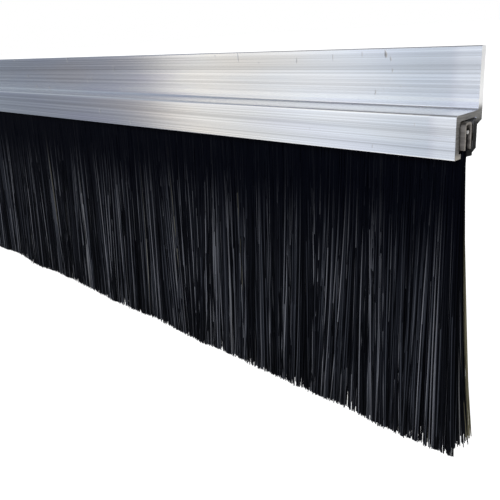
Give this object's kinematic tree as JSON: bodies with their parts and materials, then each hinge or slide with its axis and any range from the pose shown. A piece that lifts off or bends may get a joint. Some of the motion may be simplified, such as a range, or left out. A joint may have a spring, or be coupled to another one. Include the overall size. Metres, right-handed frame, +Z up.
{
  "type": "door sweep",
  "caption": "Brush door sweep: aluminium flanged holder with a long black strip brush hanging from its lower pocket.",
  "frame": {"origin": "on the door-side face of the holder's flange, at mid-length and mid-height of that face", "axes": "+X along the sweep towards the end where the strip stands proud, +Y towards the door, +Z up"},
  "size_m": [0.928, 0.0211, 0.1525],
  "materials": {
    "mill_aluminium": "mill finish with die lines",
    "galvanised_steel": "dull galvanised",
    "steel_wire": "drawn wire",
    "black_filament": "satin extruded filament"
  },
  "bodies": {
    "holder": {"holder": "mill_aluminium"},
    "brush_strip": {"brush_channel": "galvanised_steel", "core_wire": "steel_wire", "filament_root": "black_filament"},
    "bristles_01": {"bristle_section_01": "black_filament"},
    "bristles_02": {"bristle_section_02": "black_filament"},
    "bristles_03": {"bristle_section_03": "black_filament"},
    "bristles_04": {"bristle_section_04": "black_filament"},
    "bristles_05": {"bristle_section_05": "black_filament"},
    "bristles_06": {"bristle_section_06": "black_filament"},
    "bristles_07": {"bristle_section_07": "black_filament"},
    "bristles_08": {"bristle_section_08": "black_filament"},
    "bristles_09": {"bristle_section_09": "black_filament"},
    "bristles_10": {"bristle_section_10": "black_filament"},
    "bristles_11": {"bristle_section_11": "black_filament"},
    "bristles_12": {"bristle_section_12": "black_filament"}
  },
  "joints": [
    {"name": "brush_slide", "type": "slide", "parent": "holder", "child": "brush_strip", "axis": [1, 0, 0], "range_m": [0, 0.93]},
    {"name": "flex_01", "type": "hinge", "parent": "brush_strip", "child": "bristles_01", "pos_m": [-0.41739, -0.0126, -0.02395], "axis": [1, 0, 0], "range_deg": [-35, 35], "stiffness_Nm_per_rad": 0.15},
    {"name": "flex_02", "type": "hinge", "parent": "brush_strip", "child": "bristles_02", "pos_m": [-0.34137, -0.0126, -0.02395], "axis": [1, 0, 0], "range_deg": [-35, 35], "stiffness_Nm_per_rad": 0.15},
    {"name": "flex_03", "type": "hinge", "parent": "brush_strip", "child": "bristles_03", "pos_m": [-0.26536, -0.0126, -0.02395], "axis": [1, 0, 0], "range_deg": [-35, 35], "stiffness_Nm_per_rad": 0.15},
    {"name": "flex_04", "type": "hinge", "parent": "brush_strip", "child": "bristles_04", "pos_m": [-0.18934, -0.0126, -0.02395], "axis": [1, 0, 0], "range_deg": [-35, 35], "stiffness_Nm_per_rad": 0.15},
    {"name": "flex_05", "type": "hinge", "parent": "brush_strip", "child": "bristles_05", "pos_m": [-0.11332, -0.0126, -0.02395], "axis": [1, 0, 0], "range_deg": [-35, 35], "stiffness_Nm_per_rad": 0.15},
    {"name": "flex_06", "type": "hinge", "parent": "brush_strip", "child": "bristles_06", "pos_m": [-0.03731, -0.0126, -0.02395], "axis": [1, 0, 0], "range_deg": [-35, 35], "stiffness_Nm_per_rad": 0.15},
    {"name": "flex_07", "type": "hinge", "parent": "brush_strip", "child": "bristles_07", "pos_m": [0.03871, -0.0126, -0.02395], "axis": [1, 0, 0], "range_deg": [-35, 35], "stiffness_Nm_per_rad": 0.15},
    {"name": "flex_08", "type": "hinge", "parent": "brush_strip", "child": "bristles_08", "pos_m": [0.11472, -0.0126, -0.02395], "axis": [1, 0, 0], "range_deg": [-35, 35], "stiffness_Nm_per_rad": 0.15},
    {"name": "flex_09", "type": "hinge", "parent": "brush_strip", "child": "bristles_09", "pos_m": [0.19074, -0.0126, -0.02395], "axis": [1, 0, 0], "range_deg": [-35, 35], "stiffness_Nm_per_rad": 0.15},
    {"name": "flex_10", "type": "hinge", "parent": "brush_strip", "child": "bristles_10", "pos_m": [0.26676, -0.0126, -0.02395], "axis": [1, 0, 0], "range_deg": [-35, 35], "stiffness_Nm_per_rad": 0.15},
    {"name": "flex_11", "type": "hinge", "parent": "brush_strip", "child": "bristles_11", "pos_m": [0.34277, -0.0126, -0.02395], "axis": [1, 0, 0], "range_deg": [-35, 35], "stiffness_Nm_per_rad": 0.15},
    {"name": "flex_12", "type": "hinge", "parent": "brush_strip", "child": "bristles_12", "pos_m": [0.41879, -0.0126, -0.02395], "axis": [1, 0, 0], "range_deg": [-35, 35], "stiffness_Nm_per_rad": 0.15}
  ]
}
